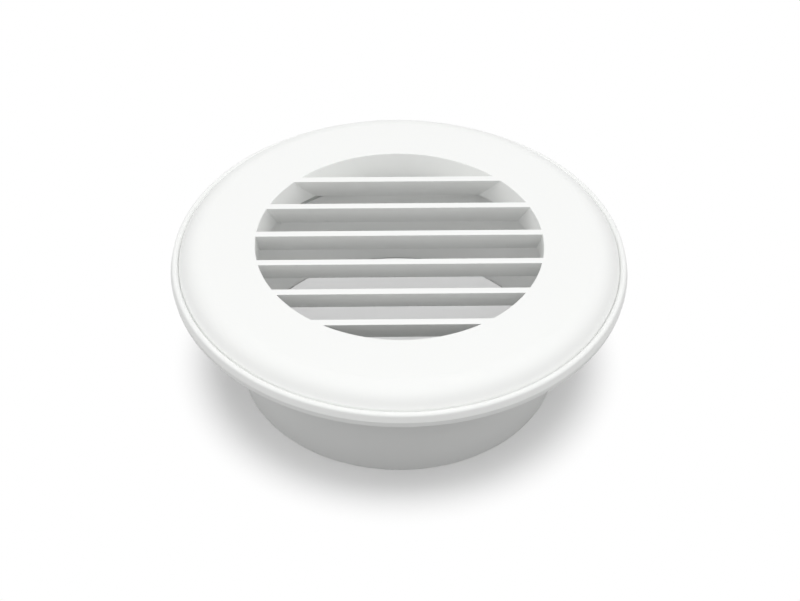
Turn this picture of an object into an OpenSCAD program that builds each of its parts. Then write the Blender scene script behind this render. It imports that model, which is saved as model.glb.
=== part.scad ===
// Round heat vent for a 4 inch duct, in one injection moulding: a flange with a rolled
// edge and a beaded rim, a short ring round the opening, slanted louvre slats, and a
// collar that slides into the duct.
// Origin: centre of the collar's lower edge. +Z comes out of the grille's face, the
// slats run along X, and their tops lean towards -Y.

/* [Flange] */
// Diameter of the flange at its parting line
flange_d = 140; // [134:0.5:180]
// Height of the face above the rim's lower edge
flange_h = 9.6; // [9:0.1:14]
// Wall thickness of the face
face_wall = 2; // [1.4:0.1:2.4]
// Radius of the roll between the flat face and its slope
roll_r = 8.5; // [6:0.1:10]
// Slope of the face where it runs down into the groove, in degrees
roll_slope = 57; // [45:1:62]

/* [Rim] */
// Radius of the bead round the rim
bead_r = 1; // [0.7:0.05:1.3]
// Depth of the bead's crest below the face
bead_drop = 5; // [4.4:0.1:6]
// Angle of the groove's bottom above the bead's centre, in degrees
groove_angle = 25; // [15:1:40]
// Thickness of the rim's wall at its lower edge
rim_wall = 1.8; // [1.2:0.1:2.4]
// Height of the parting line above the rim's lower edge
parting_h = 2; // [1:0.1:2.8]
// Draft of the rim's outside above the parting line, in degrees
upper_draft = 12; // [2:1:16]
// Draft of the rim's outside below the parting line, in degrees
lower_draft = 9; // [1:1:14]

/* [Opening] */
// Diameter of the opening in the face
opening_d = 88; // [70:0.5:90]
// Depth of the ring and the slats below the face
ring_depth = 10.5; // [6:0.1:14]
// Wall thickness of the ring round the opening
ring_wall = 1.6; // [1.2:0.1:2.4]
// Radius that breaks the opening's edge in the face
opening_edge = 0.3; // [0.1:0.05:0.6]

/* [Louvres] */
// Number of slats
slat_count = 6; // [3:1:8]
// Thickness of a slat
slat_wall = 2.1; // [1.4:0.1:2.6]
// Lean of the slats from upright, in degrees
slat_lean = 29.6; // [10:0.1:35]
// Radius of a slat's long edges
slat_edge = 0.15; // [0.1:0.05:0.5]
// Clearance from the ring to the slat at either end of the row
end_gap = 6.3; // [3:0.1:9]

/* [Collar] */
// Outside diameter of the collar
collar_d = 100; // [97:0.1:110]
// Wall thickness of the collar
collar_wall = 1.5; // [1.2:0.1:2.4]
// Length of the collar below the rim's lower edge
collar_len = 38.8; // [25:0.1:90]
// Chamfer round the collar's lower edge
collar_lead = 0.5; // [0.2:0.05:0.9]

/* [Ledge] */
// Distance from the ring's lower edge down to the ledge in the collar
ledge_drop = 4.4; // [2:0.1:8]
// Height of the ledge
ledge_h = 2; // [1.5:0.1:4]
// Distance that the ledge stands in from the collar's wall
ledge_proud = 1.2; // [0.6:0.1:1.6]
// Direction of the middle of the ledge, in degrees from +X
ledge_at = 124; // [100:1:260]
// Length of the ledge round the collar, in degrees
ledge_arc = 36; // [10:1:80]

/* [Hidden] */
$fn = 128;
roll_steps = 12;
bead_steps = 10;
edge_steps = 4;

// Heights above the collar's lower edge
rim_z = collar_len;
parting_z = rim_z + parting_h;
face_z = rim_z + flange_h;
ring_z = face_z - ring_depth;
ledge_z = ring_z - ledge_drop - ledge_h;
collar_top_z = face_z - face_wall / 2;

// Radii about the vent's axis
flange_r = flange_d / 2;
rim_low_r = flange_r - parting_h * tan(lower_draft);
rim_bore_r = rim_low_r - rim_wall;
opening_r = opening_d / 2;
ring_r = opening_r + ring_wall;
collar_r = collar_d / 2;
bore_r = collar_r - collar_wall;

// The bead's arc ends where it touches the drafted outside of the rim
bead_z = face_z - bead_drop - bead_r;
bead_x = flange_r - (bead_z - parting_z) * tan(upper_draft) - bead_r / cos(upper_draft);
bead = [bead_x, bead_z];
groove = bead + bead_r * [-cos(groove_angle), sin(groove_angle)];

// From the groove the face climbs a straight slope, then rolls over to the flat
slope_normal = [sin(roll_slope), cos(roll_slope)];
slope_rise = face_z - groove[1] - roll_r * (1 - cos(roll_slope));
roll_end = groove + slope_rise * [-1 / tan(roll_slope), 1];
roll_centre = roll_end - roll_r * slope_normal;
slope_end = groove - face_wall * slope_normal;

// A slat reaches further back at its lower edge than at its top
slat_top = slat_wall / cos(slat_lean);
slat_run = ring_depth * tan(slat_lean);
row_w = opening_d - 2 * end_gap;
slat_pitch = (row_w - slat_top - slat_run) / (slat_count - 1);

// Points along an arc about c, from angle a to angle b
function arc(c, r, a, b, steps) =
    [for (i = [0 : steps]) let (t = a + (b - a) * i / steps) c + r * [cos(t), sin(t)]];

// Points that round off corner p of an outline whose edges leave it at angles a and b
function rounded(p, r, a, b) =
    let (half = (b - a) / 2, c = p + r / sin(half) * [cos(a + half), sin(a + half)])
    arc(c, r, b + 90, a + 270, edge_steps);

// Half section of the flange, a shell that is open below
module flange_section() {
    polygon(concat(
        [[ring_r, face_z - face_wall], [ring_r, face_z]],
        arc(roll_centre, roll_r, 90, 90 - roll_slope, roll_steps),
        arc(bead, bead_r, 180 - groove_angle, upper_draft, bead_steps),
        [[flange_r, parting_z], [rim_low_r, rim_z], [rim_bore_r, rim_z]],
        [[rim_bore_r, groove[1] - face_wall], [slope_end[0], groove[1] - face_wall], slope_end],
        arc(roll_centre, roll_r - face_wall, 90 - roll_slope, 90, roll_steps)
    ));
}

// Half section of the ring round the opening
module ring_section() {
    polygon(concat(
        [[opening_r, ring_z], [ring_r, ring_z], [ring_r, face_z]],
        rounded([opening_r, face_z], opening_edge, 270, 360)
    ));
}

// Half section of the collar
module collar_section() {
    polygon([
        [bore_r, 0], [collar_r - collar_lead, 0], [collar_r, collar_lead],
        [collar_r, collar_top_z], [bore_r, collar_top_z]
    ]);
}

// Everything that turns about the vent's axis
module shell() {
    color("white") rotate_extrude() {
        flange_section();
        ring_section();
        collar_section();
    }
}

// Section of a slat in Y and Z, with its front top corner at the origin
module slat_section() {
    polygon(concat(
        rounded([0, 0], slat_edge, slat_lean - 90, 0),
        rounded([slat_run, -ring_depth], slat_edge, 0, slat_lean + 90),
        rounded([slat_run + slat_top, -ring_depth], slat_edge, slat_lean + 90, 180),
        rounded([slat_top, 0], slat_edge, 180, slat_lean + 270)
    ));
}

// The row of slats, with both ends of each one in the ring's wall
module louvres() {
    color("white") intersection() {
        for (i = [0 : slat_count - 1])
            translate([-ring_r, i * slat_pitch - row_w / 2, face_z])
                rotate([90, 0, 90]) linear_extrude(2 * ring_r) slat_section();
        cylinder(r = opening_r + ring_wall / 2, h = face_z);
    }
}

// Low ledge on the inside of the collar, on one side only
module ledge() {
    color("white") rotate([0, 0, ledge_at - ledge_arc / 2]) rotate_extrude(angle = ledge_arc)
        translate([bore_r - ledge_proud, ledge_z]) square([ledge_proud + collar_wall / 2, ledge_h]);
}

module vent_body() {
    shell();
    louvres();
    ledge();
}

vent_body();
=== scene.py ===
"""A round heat vent for a four inch duct, on a pale floor under soft studio light.

The vent is one injection moulding in satin white plastic: a flange with a rolled edge and
a beaded rim, a short ring round the opening, slanted slats, and a collar for the duct.
It stands on its collar, and the camera looks down on its face.
"""

import logging
from dataclasses import dataclass
from enum import Enum
from math import cos, pi, radians, sin, sqrt, tan
from typing import Union

import bmesh
import bpy
from mathutils import Matrix, Vector


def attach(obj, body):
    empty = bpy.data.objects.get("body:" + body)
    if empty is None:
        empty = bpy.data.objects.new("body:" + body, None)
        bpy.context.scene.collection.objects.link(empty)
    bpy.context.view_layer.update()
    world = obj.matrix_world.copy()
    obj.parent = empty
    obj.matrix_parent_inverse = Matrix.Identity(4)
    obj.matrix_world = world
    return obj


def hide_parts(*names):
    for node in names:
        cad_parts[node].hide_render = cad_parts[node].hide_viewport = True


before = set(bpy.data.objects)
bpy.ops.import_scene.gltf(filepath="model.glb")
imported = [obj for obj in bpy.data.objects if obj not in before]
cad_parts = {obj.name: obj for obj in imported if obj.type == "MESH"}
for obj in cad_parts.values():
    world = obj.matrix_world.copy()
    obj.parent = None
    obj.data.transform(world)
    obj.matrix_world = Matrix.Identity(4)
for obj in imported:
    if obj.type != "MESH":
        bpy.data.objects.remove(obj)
log = logging.getLogger("heat_vent")

MM = 0.001
NODE = "vent_body"
BODY = "root"
WHITE = (1.0, 1.0, 1.0, 1.0)

Point = tuple[float, float]
Number = Union[float, "Signal"]


class Tool(Enum):
    """The operations of a Math node that the finishes use."""

    ADD = "ADD"
    SUBTRACT = "SUBTRACT"
    MULTIPLY = "MULTIPLY"
    MAXIMUM = "MAXIMUM"


class Graph:
    """The node tree of one material or of the world."""

    def __init__(self, tree: bpy.types.NodeTree) -> None:
        """Empties a node tree and keeps it.

        Args:
            tree: The tree to fill.
        """
        self.tree = tree
        self.tree.nodes.clear()

    def add(
        self, kind: str, settings: dict | None = None, sockets: dict | None = None,
    ) -> bpy.types.Node:
        """Adds a node.

        Args:
            kind: The node's type name.
            settings: The node's own properties, set before its sockets.
            sockets: Values or links for its inputs, by name or index.

        Returns:
            The new node.
        """
        node = self.tree.nodes.new(kind)
        for name, value in (settings or {}).items():
            setattr(node, name, value)
        for name, value in (sockets or {}).items():
            if isinstance(value, Signal):
                self.tree.links.new(value.socket, node.inputs[name])
            else:
                node.inputs[name].default_value = value
        return node

    def signal(self, node: bpy.types.Node, output: str | int = 0) -> "Signal":
        """Wraps one output of a node.

        Args:
            node: The node that gives the value.
            output: The output's name or index.

        Returns:
            The wrapped socket.
        """
        return Signal(self, node.outputs[output])

    def mix(self, factor: Number, a: object, b: object) -> "Signal":
        """Mixes two colours.

        Args:
            factor: The share of the second colour.
            a: The first colour, or a signal.
            b: The second colour, or a signal.

        Returns:
            The mixed colour.
        """
        first, second, result = 6, 7, 2
        colours = {0: factor, first: a, second: b}
        node = self.add("ShaderNodeMix", {"data_type": "RGBA"}, colours)
        return self.signal(node, result)


class Signal:
    """A socket's value that takes part in plain arithmetic."""

    def __init__(self, graph: Graph, socket: bpy.types.NodeSocket) -> None:
        """Keeps a socket with its graph.

        Args:
            graph: The graph that holds the socket.
            socket: The output socket to read.
        """
        self.graph = graph
        self.socket = socket

    def maths(self, tool: Tool, first: Number, second: Number) -> "Signal":
        """Adds one Math node.

        Args:
            tool: The operation.
            first: Its first value.
            second: Its second value.

        Returns:
            The node's result.
        """
        node = self.graph.add("ShaderNodeMath", {"operation": tool.value}, {0: first, 1: second})
        return self.graph.signal(node)

    def __add__(self, other: Number) -> "Signal":
        """The sum."""
        return self.maths(Tool.ADD, self, other)

    def __radd__(self, other: Number) -> "Signal":
        """The sum, with the signal on the right."""
        return self.maths(Tool.ADD, other, self)

    def __sub__(self, other: Number) -> "Signal":
        """The difference."""
        return self.maths(Tool.SUBTRACT, self, other)

    def __rsub__(self, other: Number) -> "Signal":
        """The difference, with the signal on the right."""
        return self.maths(Tool.SUBTRACT, other, self)

    def __mul__(self, other: Number) -> "Signal":
        """The product."""
        return self.maths(Tool.MULTIPLY, self, other)

    def __rmul__(self, other: Number) -> "Signal":
        """The product, with the signal on the right."""
        return self.maths(Tool.MULTIPLY, other, self)

    def either(self, other: Number) -> "Signal":
        """The larger of the two."""
        return self.maths(Tool.MAXIMUM, self, other)


class SectionPen:
    """Draws the outline of a half section, in the plane of X and Z, with a mesh's edges."""

    def __init__(self, mesh: bmesh.types.BMesh, start: Point) -> None:
        """Puts the pen down.

        Args:
            mesh: The mesh to draw in.
            start: Where the outline starts, in metres.
        """
        self.mesh = mesh
        self.first = mesh.verts.new((start[0], 0.0, start[1]))
        self.tip = self.first
        self.soft: list[tuple[bmesh.types.BMVert, float]] = []

    def line(self, x: float, z: float, edge: float = 0.0) -> "SectionPen":
        """Draws a straight line.

        Args:
            x: Where it ends, out from the axis.
            z: Its end's height.
            edge: The radius that breaks the corner there.

        Returns:
            The pen.
        """
        grown = bmesh.ops.extrude_vert_indiv(self.mesh, verts=[self.tip])
        self.tip = grown["verts"][0]
        self.tip.co = (x, 0.0, z)
        if edge:
            self.soft.append((self.tip, edge))
        return self

    def arc(self, centre: Point, angle: float, steps: int) -> "SectionPen":
        """Draws an arc about a centre, from where the pen is.

        Args:
            centre: The arc's centre.
            angle: How far it turns, in radians, clockwise from X towards -Z.
            steps: How many edges it has.

        Returns:
            The pen.
        """
        turned = bmesh.ops.spin(
            self.mesh, geom=[self.tip], cent=(centre[0], 0.0, centre[1]), axis=(0.0, 1.0, 0.0),
            angle=angle, steps=steps, use_merge=False, use_duplicate=False,
        )
        ends = turned["geom_last"]
        self.tip = next(part for part in ends if isinstance(part, bmesh.types.BMVert))
        return self

    def close(self, edge_steps: int) -> None:
        """Joins the pen's tip to its start, then breaks the corners that asked for it.

        Args:
            edge_steps: How many edges each broken corner gets.
        """
        self.mesh.edges.new((self.tip, self.first))
        for corner, radius in self.soft:
            bmesh.ops.bevel(
                self.mesh, geom=[corner], offset=radius, offset_type="OFFSET", affect="VERTICES",
                segments=edge_steps, profile=0.5, material=-1,
            )


@dataclass(frozen=True)
class Flange:
    """The face, its rolled edge and the rim, with heights above the rim's lower edge."""

    radius: float = 70.0 * MM
    height: float = 9.6 * MM
    wall: float = 2.0 * MM
    roll: float = 8.5 * MM
    slope: float = radians(57.0)
    bead: float = 1.0 * MM
    bead_drop: float = 5.0 * MM
    groove_angle: float = radians(25.0)
    crevice_reach: float = 0.7 * MM
    crevice: float = 0.12 * MM
    rim_wall: float = 1.8 * MM
    parting: float = 2.0 * MM
    upper_draft: float = radians(12.0)
    lower_draft: float = radians(9.0)
    edge: float = 0.25 * MM
    roll_steps: int = 24
    bead_steps: int = 14

    @property
    def bead_centre(self) -> Point:
        """The middle of the bead's section."""
        z = self.height - self.bead_drop - self.bead
        lean = (z - self.parting) * tan(self.upper_draft) + self.bead / cos(self.upper_draft)
        return self.radius - lean, z

    @property
    def groove(self) -> Point:
        """Where the slope would meet the bead, with no crevice between them."""
        x, z = self.bead_centre
        return x - self.bead * cos(self.groove_angle), z + self.bead * sin(self.groove_angle)

    @property
    def roll_centre(self) -> Point:
        """The middle of the roll's section."""
        x, z = self.groove
        rise = self.height - z - self.roll * (1.0 - cos(self.slope))
        return x - rise / tan(self.slope) - self.roll * sin(self.slope), self.height - self.roll

    @property
    def low_radius(self) -> float:
        """The rim's radius at its lower edge."""
        return self.radius - self.parting * tan(self.lower_draft)

    def draw_outside(self, pen: SectionPen, base: float) -> None:
        """Draws the face, the roll, the slope, the crevice, the bead and the rim's outside.

        Args:
            pen: The pen, on the face.
            base: The height of the rim's lower edge.
        """
        roll_x, roll_z = self.roll_centre
        bead_x, bead_z = self.bead_centre
        groove_x, groove_z = self.groove
        pen.line(roll_x, base + self.height)
        pen.arc((roll_x, base + roll_z), self.slope, self.roll_steps)
        back, up = self.crevice_reach * cos(self.slope), self.crevice_reach * sin(self.slope)
        pen.line(groove_x - back, base + groove_z + up)
        pen.line(bead_x - self.bead - self.crevice, base + bead_z - self.crevice)
        pen.line(bead_x - self.bead, base + bead_z)
        pen.arc((bead_x, base + bead_z), pi - self.upper_draft, self.bead_steps)
        pen.line(self.radius, base + self.parting)
        pen.line(self.low_radius, base, self.edge)

    def draw_inside(self, pen: SectionPen, base: float) -> None:
        """Draws the rim's lower edge and the hollow behind the face.

        Args:
            pen: The pen, on the rim's lower outer edge.
            base: The height of the rim's lower edge.
        """
        roll_x, roll_z = self.roll_centre
        groove_x, groove_z = self.groove
        bore = self.low_radius - self.rim_wall
        slope_x = groove_x - self.wall * sin(self.slope)
        slope_z = groove_z - self.wall * cos(self.slope)
        inner = self.roll - self.wall
        pen.line(bore, base, self.edge)
        pen.line(bore, base + groove_z - self.wall, self.edge)
        pen.line(slope_x, base + groove_z - self.wall)
        pen.line(slope_x, base + slope_z)
        pen.line(roll_x + inner * sin(self.slope), base + roll_z + inner * cos(self.slope))
        pen.arc((roll_x, base + roll_z), -self.slope, self.roll_steps)


@dataclass(frozen=True)
class Collar:
    """The round tube that goes into the duct."""

    radius: float = 50.0 * MM
    wall: float = 1.5 * MM
    length: float = 38.8 * MM
    edge: float = 0.2 * MM

    def draw(self, pen: SectionPen, under: float) -> None:
        """Draws the collar from its outside up round its lower edge to its inside.

        Args:
            pen: The pen, under the face outside the collar.
            under: The height of the face's underside.
        """
        bore = self.radius - self.wall
        pen.line(self.radius, under, self.edge)
        pen.line(self.radius, 0.0, self.edge)
        pen.line(bore, 0.0, self.edge)
        pen.line(bore, under, self.edge)


@dataclass(frozen=True)
class Ring:
    """The short wall round the opening, which holds the slats' ends."""

    radius: float = 44.0 * MM
    wall: float = 1.6 * MM
    depth: float = 10.5 * MM
    edge: float = 0.3 * MM

    def draw(self, pen: SectionPen, face: float, under: float) -> None:
        """Draws the ring from under the face down round its lower edge to its inside.

        Args:
            pen: The pen, under the face inside the collar.
            face: The face's height.
            under: The height of the face's underside.
        """
        outer = self.radius + self.wall
        pen.line(outer, under, self.edge)
        pen.line(outer, face - self.depth, self.edge)
        pen.line(self.radius, face - self.depth, self.edge)


@dataclass(frozen=True)
class Louvres:
    """The row of slats. Each leans, with its lower edge further back than its top."""

    count: int = 6
    wall: float = 2.1 * MM
    lean: float = radians(29.6)
    end_gap: float = 6.3 * MM
    edge: float = 0.15 * MM
    sink: float = 0.02 * MM
    side_steps: int = 8
    edge_steps: int = 7

    def build(self, mesh: bmesh.types.BMesh, ring: Ring, face: float) -> None:
        """Builds the slats, each closed and with its ends in the ring's wall.

        Args:
            mesh: The mesh to build them in.
            ring: The ring that holds them.
            face: The face's height.
        """
        top = self.wall / cos(self.lean)
        run = ring.depth * tan(self.lean)
        row = 2.0 * (ring.radius - self.end_gap)
        pitch = (row - top - run) / (self.count - 1)
        for index in range(self.count):
            front = index * pitch - row / 2.0
            self._slat(mesh, ring, face, front, top, run)

    def _slat(
        self, mesh: bmesh.types.BMesh, ring: Ring, face: float,
        front: float, top: float, run: float,
    ) -> None:
        """Builds one slat.

        Args:
            mesh: The mesh to build it in.
            ring: The ring that holds it.
            face: The face's height.
            front: Where its top's front edge lies along Y.
            top: How wide its top is along Y.
            run: How much further back its lower edge lies.
        """
        slat = bmesh.new()
        high, depth = face - self.sink, ring.depth - 2.0 * self.sink
        pen = SectionPen(slat, (front + top / 2.0, high))
        pen.line(front + top, high, self.edge)
        for step in range(1, self.side_steps):
            share = step / self.side_steps
            pen.line(front + top + run * share, high - depth * share)
        pen.line(front + top + run, high - depth, self.edge)
        pen.line(front + run, high - depth, self.edge)
        for step in range(self.side_steps - 1, 0, -1):
            share = step / self.side_steps
            pen.line(front + run * share, high - depth * share)
        pen.line(front, high, self.edge)
        pen.close(self.edge_steps)
        bmesh.ops.contextual_create(slat, geom=slat.edges[:])
        across = Matrix.Rotation(pi / 2.0, 3, "Z")
        bmesh.ops.rotate(slat, verts=slat.verts, cent=(0.0, 0.0, 0.0), matrix=across)
        grown = bmesh.ops.extrude_face_region(slat, geom=slat.faces[:], use_keep_orig=True)
        moved = {part for part in grown["geom"] if isinstance(part, bmesh.types.BMVert)}
        reach = ring.radius + ring.wall / 2.0
        for vert in slat.verts:
            side = 1.0 if vert in moved else -1.0
            vert.co.x = side * sqrt(reach ** 2 - vert.co.y ** 2)
        bmesh.ops.recalc_face_normals(slat, faces=slat.faces)
        take_in(mesh, slat)


@dataclass(frozen=True)
class Ledge:
    """The low ledge on the inside of the collar, on one side only."""

    drop: float = 4.4 * MM
    height: float = 2.0 * MM
    proud: float = 1.2 * MM
    middle: float = radians(124.0)
    arc: float = radians(36.0)
    edge: float = 0.15 * MM
    edge_steps: int = 6
    steps: int = 36

    def build(self, mesh: bmesh.types.BMesh, collar: Collar, ring_foot: float) -> None:
        """Builds the ledge, with its back in the collar's wall.

        Args:
            mesh: The mesh to build it in.
            collar: The collar that carries it.
            ring_foot: The height of the ring's lower edge.
        """
        bore = collar.radius - collar.wall
        high = ring_foot - self.drop
        low = high - self.height
        ledge = bmesh.new()
        pen = SectionPen(ledge, (bore + collar.wall / 2.0, high))
        pen.line(bore + collar.wall / 2.0, low)
        pen.line(bore - self.proud, low, self.edge)
        pen.line(bore - self.proud, high, self.edge)
        pen.close(self.edge_steps)
        bmesh.ops.contextual_create(ledge, geom=ledge.edges[:])
        start = Matrix.Rotation(self.middle - self.arc / 2.0, 3, "Z")
        bmesh.ops.rotate(ledge, verts=ledge.verts, cent=(0.0, 0.0, 0.0), matrix=start)
        bmesh.ops.spin(
            ledge, geom=ledge.faces[:] + ledge.edges[:] + ledge.verts[:], cent=(0.0, 0.0, 0.0),
            axis=(0.0, 0.0, 1.0), angle=self.arc, steps=self.steps, use_merge=False,
            use_duplicate=False,
        )
        bmesh.ops.recalc_face_normals(ledge, faces=ledge.faces)
        take_in(mesh, ledge)


def take_in(mesh: bmesh.types.BMesh, part: bmesh.types.BMesh) -> None:
    """Adds one mesh to another and frees it.

    Args:
        mesh: The mesh that grows.
        part: The mesh that it takes in.
    """
    carrier = bpy.data.meshes.new("carrier")
    part.to_mesh(carrier)
    part.free()
    mesh.from_mesh(carrier)
    bpy.data.meshes.remove(carrier)


def make_piece(name: str, mesh: bmesh.types.BMesh) -> bpy.types.Object:
    """Makes an object at the origin from a mesh, and frees the mesh.

    Args:
        name: The piece's name.
        mesh: Its shape.

    Returns:
        The new object.
    """
    data = bpy.data.meshes.new(name)
    mesh.to_mesh(data)
    mesh.free()
    piece = bpy.data.objects.new(name, data)
    bpy.context.scene.collection.objects.link(piece)
    return piece


@dataclass(frozen=True)
class WhitePlastic:
    """Satin white moulded plastic with a faint grain, a little yellowed in soft clouds."""

    colour: tuple[float, float, float, float] = (0.945, 0.953, 0.943, 1.0)
    aged: tuple[float, float, float, float] = (0.938, 0.946, 0.930, 1.0)
    roughness: float = 0.46
    roughness_spread: float = 0.07
    specular: float = 0.5
    cloud_scale: float = 38.0
    cloud_detail: float = 3.0
    grain_scale: float = 2600.0
    grain_detail: float = 2.0
    grain_spread: float = 0.04
    grain_height: float = 0.012 * MM
    grain_strength: float = 0.35
    noise_middle: float = 0.5
    noise_roughness: float = 0.5

    def material(self, name: str) -> bpy.types.Material:
        """Makes the finish.

        Args:
            name: The material's name.

        Returns:
            The material, with all its patterns in object coordinates.
        """
        made = bpy.data.materials.new(name)
        made.use_nodes = True
        graph = Graph(made.node_tree)
        place = graph.signal(graph.add("ShaderNodeTexCoord"), "Object")
        clouds = self._noise(graph, place, self.cloud_scale, self.cloud_detail)
        grain = self._noise(graph, place, self.grain_scale, self.grain_detail)
        cloudy = self.roughness_spread * (clouds - self.noise_middle)
        grainy = self.grain_spread * (grain - self.noise_middle)
        rough = self.roughness + cloudy + grainy
        bump = graph.add("ShaderNodeBump", None, {
            "Strength": self.grain_strength, "Distance": self.grain_height, "Height": grain,
        })
        shader = graph.add("ShaderNodeBsdfPrincipled", None, {
            "Base Color": graph.mix(clouds, self.colour, self.aged),
            "Roughness": rough,
            "Specular IOR Level": self.specular,
            "Normal": graph.signal(bump),
        })
        graph.add("ShaderNodeOutputMaterial", None, {"Surface": graph.signal(shader)})
        return made

    def _noise(self, graph: Graph, place: Signal, scale: float, detail: float) -> Signal:
        """Adds a noise pattern.

        Args:
            graph: The material's graph.
            place: The coordinates to read.
            scale: How fine the pattern is, in patterns a metre.
            detail: How many finer layers it has.

        Returns:
            Its value, round about a half.
        """
        sockets = {
            "Vector": place, "Scale": scale, "Detail": detail, "Roughness": self.noise_roughness,
        }
        return graph.signal(graph.add("ShaderNodeTexNoise", None, sockets))


def seen_directly(graph: Graph) -> Signal:
    """Tells what the camera sees, also by a reflection or through glass, from what only lights.

    Args:
        graph: The graph that needs to know.

    Returns:
        One for such a ray, and zero for the others.
    """
    path = graph.add("ShaderNodeLightPath")
    glossy = graph.signal(path, "Is Glossy Ray")
    clear = graph.signal(path, "Is Transmission Ray")
    return graph.signal(path, "Is Camera Ray").either(glossy).either(clear)


def lay_paper(graph: Graph, colour: object, white: Number) -> None:
    """Finishes a matt paper that shows partly as plain white.

    Args:
        graph: The material's graph.
        colour: The paper's colour, or a signal.
        white: How much of it shows as plain white, with no shade on it.
    """
    matt = graph.signal(graph.add("ShaderNodeBsdfDiffuse", None, {"Color": colour}))
    plain = graph.signal(graph.add("ShaderNodeEmission", None, {"Color": WHITE, "Strength": 1.0}))
    paper = graph.add("ShaderNodeMixShader", None, {0: white, 1: matt, 2: plain})
    graph.add("ShaderNodeOutputMaterial", None, {"Surface": graph.signal(paper)})


@dataclass(frozen=True)
class PaleFloor:
    """A matt floor that holds the vent's shadow near it and fades that shadow out into a painted
    plain white round it.

    Near the vent it throws back almost no light though it looks pale. This is painted shade: a
    dark sheet for the bounced light where the floor lies in shade, which darkens the collar and
    the rim's lower band.
    """

    seen: tuple[float, float, float, float] = (0.87, 0.87, 0.87, 1.0)
    # Painted shade: close to the vent the floor bounces almost no light, though the camera sees
    # it pale.
    bounced_near: tuple[float, float, float, float] = (0.02, 0.02, 0.02, 1.0)
    bounced_far: tuple[float, float, float, float] = (0.31, 0.31, 0.31, 1.0)
    shadow_radius: float = 54.0 * MM
    clear_radius: float = 73.0 * MM
    side: float = 6.0

    def build(self) -> bpy.types.Object:
        """Builds and dresses the floor.

        Returns:
            The floor.
        """
        mesh = bmesh.new()
        bmesh.ops.create_grid(mesh, x_segments=1, y_segments=1, size=self.side / 2.0)
        floor = make_piece("floor", mesh)
        floor.data.materials.append(self._paper())
        return floor

    def _paper(self) -> bpy.types.Material:
        """Makes the floor's finish.

        Returns:
            The material.
        """
        made = bpy.data.materials.new("pale_paper")
        made.use_nodes = True
        graph = Graph(made.node_tree)
        place = graph.signal(graph.add("ShaderNodeTexCoord"), "Object")
        away = graph.add("ShaderNodeVectorMath", {"operation": "LENGTH"}, {0: place})
        fade = graph.add("ShaderNodeMapRange", {"interpolation_type": "SMOOTHSTEP"}, {
            "Value": graph.signal(away, "Value"),
            "From Min": self.shadow_radius,
            "From Max": self.clear_radius,
        })
        clear = graph.signal(fade)
        seen = seen_directly(graph)
        bounced = graph.mix(clear, self.bounced_near, self.bounced_far)
        # Between the shadow radius and the clear radius the floor's shadow fades into painted
        # plain white, for the camera and in reflections.
        lay_paper(graph, graph.mix(seen, bounced, self.seen), seen * clear)
        return made


@dataclass(frozen=True)
class WhiteCard:
    """A round card on the floor inside the collar, which throws light up between the slats.

    Where the camera or a reflection sees it, it looks lighter than the light it throws back, and
    a painted glow brightens it further in the collar's shade.
    """

    radius: float = 48.2 * MM
    height: float = 0.2 * MM
    corners: int = 96
    seen: tuple[float, float, float, float] = (0.85, 0.85, 0.85, 1.0)
    bounced: tuple[float, float, float, float] = (0.57, 0.57, 0.57, 1.0)
    # A painted glow, seen only by the camera and in reflections: it lightens the card in the
    # collar's shade.
    painted_glow: float = 0.30

    def build(self) -> bpy.types.Object:
        """Builds and dresses the card.

        Returns:
            The card.
        """
        mesh = bmesh.new()
        bmesh.ops.create_circle(
            mesh, cap_ends=True, segments=self.corners, radius=self.radius,
            matrix=Matrix.Translation((0.0, 0.0, self.height)),
        )
        card = make_piece("card", mesh)
        card.data.materials.append(self._paper())
        return card

    def _paper(self) -> bpy.types.Material:
        """Makes the card's finish.

        Returns:
            The material.
        """
        made = bpy.data.materials.new("white_card")
        made.use_nodes = True
        graph = Graph(made.node_tree)
        seen = seen_directly(graph)
        # The camera and reflections see the lighter colour and the painted glow; bounced light
        # gets the darker colour.
        lay_paper(graph, graph.mix(seen, self.bounced, self.seen), self.painted_glow * seen)
        return made


@dataclass(frozen=True)
class Softbox:
    """One soft lamp that points at the vent."""

    name: str
    azimuth: float
    elevation: float
    power: float
    distance: float = 1.6
    side: float = 1.0

    def build(self, target: Vector) -> bpy.types.Object:
        """Hangs the lamp.

        Args:
            target: The point it faces.

        Returns:
            The lamp.
        """
        lamp = bpy.data.lights.new(self.name, "AREA")
        lamp.shape = "SQUARE"
        lamp.size = self.side
        lamp.energy = self.power
        holder = bpy.data.objects.new(self.name, lamp)
        bpy.context.scene.collection.objects.link(holder)
        turn, lift = radians(self.azimuth), radians(self.elevation)
        away = Vector((cos(turn) * cos(lift), sin(turn) * cos(lift), sin(lift)))
        holder.location = target + away * self.distance
        holder.rotation_euler = away.to_track_quat("Z", "Y").to_euler()
        return holder


@dataclass(frozen=True)
class Studio:
    """The floor, the lamps and the light from all round."""

    floor: PaleFloor = PaleFloor()
    card: WhiteCard = WhiteCard()
    ambient: float = 0.577
    lamps: tuple[Softbox, ...] = (
        Softbox("left_softbox", azimuth=180.0, elevation=42.0, power=4.25),
        Softbox("right_softbox", azimuth=0.0, elevation=47.0, power=4.45),
        Softbox("front_softbox", azimuth=270.0, elevation=62.0, power=6.65),
    )

    def build(self, target: Vector) -> None:
        """Sets the studio up round the vent.

        Args:
            target: The point that the lamps face.
        """
        self.floor.build()
        self.card.build()
        for lamp in self.lamps:
            lamp.build(target)
        world = bpy.data.worlds.new("white_room")
        bpy.context.scene.world = world
        world.use_nodes = True
        graph = Graph(world.node_tree)
        seen = seen_directly(graph)
        strength = seen + self.ambient * (1.0 - seen)
        room = graph.add("ShaderNodeBackground", None, {"Color": WHITE, "Strength": strength})
        graph.add("ShaderNodeOutputWorld", None, {"Surface": graph.signal(room)})


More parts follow.
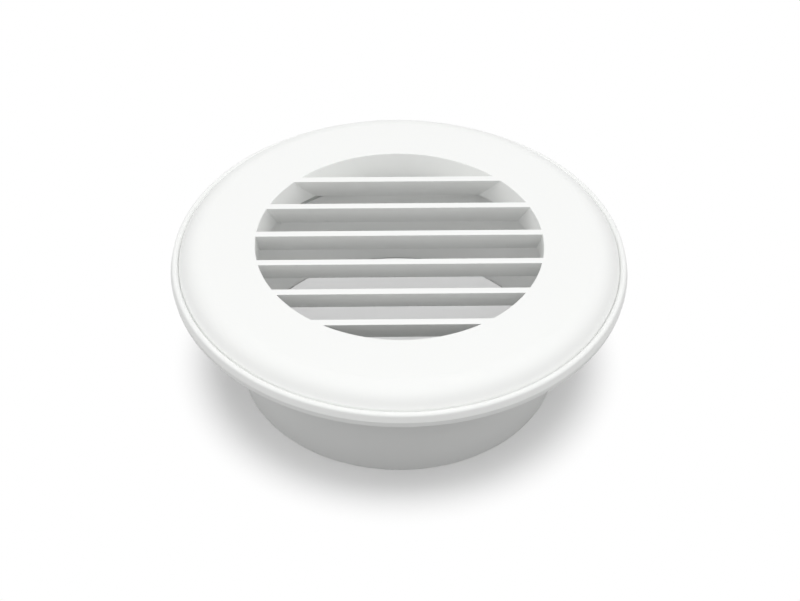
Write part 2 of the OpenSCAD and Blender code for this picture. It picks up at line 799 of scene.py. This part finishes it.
@dataclass(frozen=True)
class PhotoCamera:
    """The camera, where the photograph was taken from, fitted to the vent's round edges there."""

    eye: tuple[float, float, float] = (-12.38 * MM, -415.18 * MM, 396.61 * MM)
    heading: float = radians(1.76)
    down: float = radians(41.9)
    roll: float = radians(0.69)
    lens: float = 79.911
    sensor: float = 36.0
    nearest: float = 10.0 * MM

    def build(self) -> None:
        """Puts the camera in place and makes it the scene's."""
        data = bpy.data.cameras.new("photo_camera")
        data.lens = self.lens
        data.sensor_fit = "HORIZONTAL"
        data.sensor_width = self.sensor
        data.clip_start = self.nearest
        camera = bpy.data.objects.new("photo_camera", data)
        bpy.context.scene.collection.objects.link(camera)
        turn = Matrix.Rotation(-self.heading, 4, "Z")
        tilt = Matrix.Rotation(pi / 2.0 - self.down, 4, "X")
        level = Matrix.Rotation(self.roll, 4, "Z")
        camera.matrix_world = Matrix.Translation(self.eye) @ turn @ tilt @ level
        bpy.context.scene.camera = camera


@dataclass(frozen=True)
class HeatVent:
    """The whole moulding."""

    flange: Flange = Flange()
    collar: Collar = Collar()
    ring: Ring = Ring()
    louvres: Louvres = Louvres()
    ledge: Ledge = Ledge()
    finish: WhitePlastic = WhitePlastic()
    turns: int = 256
    edge_steps: int = 6
    crease: float = radians(18.0)

    @property
    def face(self) -> float:
        """The height of the face."""
        return self.collar.length + self.flange.height

    def build(self) -> bpy.types.Object:
        """Builds and dresses the moulding in place of its plain solid.

        Returns:
            The finished piece.
        """
        shell = make_piece("vent_moulding", self._shell())
        for name, part in (("louvres", self._louvres()), ("ledge", self._ledge())):
            fuse(shell, make_piece(name, part))
        for polygon in shell.data.polygons:
            polygon.use_smooth = True
        mark_creases(shell, self.crease)
        flats = shell.modifiers.new("flat_faces", "WEIGHTED_NORMAL")
        flats.mode = "FACE_AREA"
        flats.keep_sharp = True
        shell.data.materials.clear()
        shell.data.materials.append(self.finish.material("white_plastic"))
        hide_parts(NODE)
        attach(shell, BODY)
        log.info("%s has %d faces", shell.name, len(shell.data.polygons))
        return shell

    def _shell(self) -> bmesh.types.BMesh:
        """Turns the flange, the collar and the ring in one go.

        Returns:
            Their mesh, closed.
        """
        mesh = bmesh.new()
        base, face = self.collar.length, self.face
        under = face - self.flange.wall
        opening = self.ring.radius + self.ring.edge
        pen = SectionPen(mesh, (opening, face))
        self.flange.draw_outside(pen, base)
        self.flange.draw_inside(pen, base)
        self.collar.draw(pen, under)
        self.ring.draw(pen, face, under)
        pen.line(self.ring.radius, face - self.ring.edge)
        steps = self.edge_steps - 1
        turn = pi / 2.0 * steps / self.edge_steps
        pen.arc((opening, face - self.ring.edge), turn, steps)
        pen.close(self.edge_steps)
        bmesh.ops.spin(
            mesh, geom=mesh.verts[:] + mesh.edges[:], cent=(0.0, 0.0, 0.0), axis=(0.0, 0.0, 1.0),
            angle=2.0 * pi, steps=self.turns, use_merge=True, use_duplicate=False,
        )
        bmesh.ops.recalc_face_normals(mesh, faces=mesh.faces)
        return mesh

    def _louvres(self) -> bmesh.types.BMesh:
        """The slats' mesh."""
        mesh = bmesh.new()
        self.louvres.build(mesh, self.ring, self.face)
        return mesh

    def _ledge(self) -> bmesh.types.BMesh:
        """The ledge's mesh."""
        mesh = bmesh.new()
        self.ledge.build(mesh, self.collar, self.face - self.ring.depth)
        return mesh


def fuse(piece: bpy.types.Object, part: bpy.types.Object) -> None:
    """Joins a part to a piece as one closed solid, and removes the part.

    Args:
        piece: The piece that grows.
        part: The part that it takes in.
    """
    union = piece.modifiers.new("union", "BOOLEAN")
    union.operation = "UNION"
    union.solver = "EXACT"
    union.object = part
    bpy.context.view_layer.update()
    seen = piece.evaluated_get(bpy.context.evaluated_depsgraph_get())
    joined = bpy.data.meshes.new_from_object(seen)
    piece.modifiers.remove(union)
    old = piece.data
    piece.data = joined
    bpy.data.meshes.remove(old)
    bpy.data.objects.remove(part)


def mark_creases(piece: bpy.types.Object, limit: float) -> None:
    """Marks the edges that turn by more than a limit as sharp.

    Args:
        piece: The piece to mark.
        limit: The largest turn that stays smooth, in radians.
    """
    mesh = bmesh.new()
    mesh.from_mesh(piece.data)
    for edge in mesh.edges:
        edge.smooth = len(edge.link_faces) == 2 and edge.calc_face_angle() < limit
    mesh.to_mesh(piece.data)
    mesh.free()


def main() -> None:
    """Builds the vent, its studio and its camera."""
    logging.basicConfig(level=logging.INFO)
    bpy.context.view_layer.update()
    bpy.context.scene.view_settings.view_transform = "Standard"
    vent = HeatVent()
    vent.build()
    Studio().build(Vector((0.0, 0.0, vent.face)))
    PhotoCamera().build()


if __name__ == "__main__":
    main()
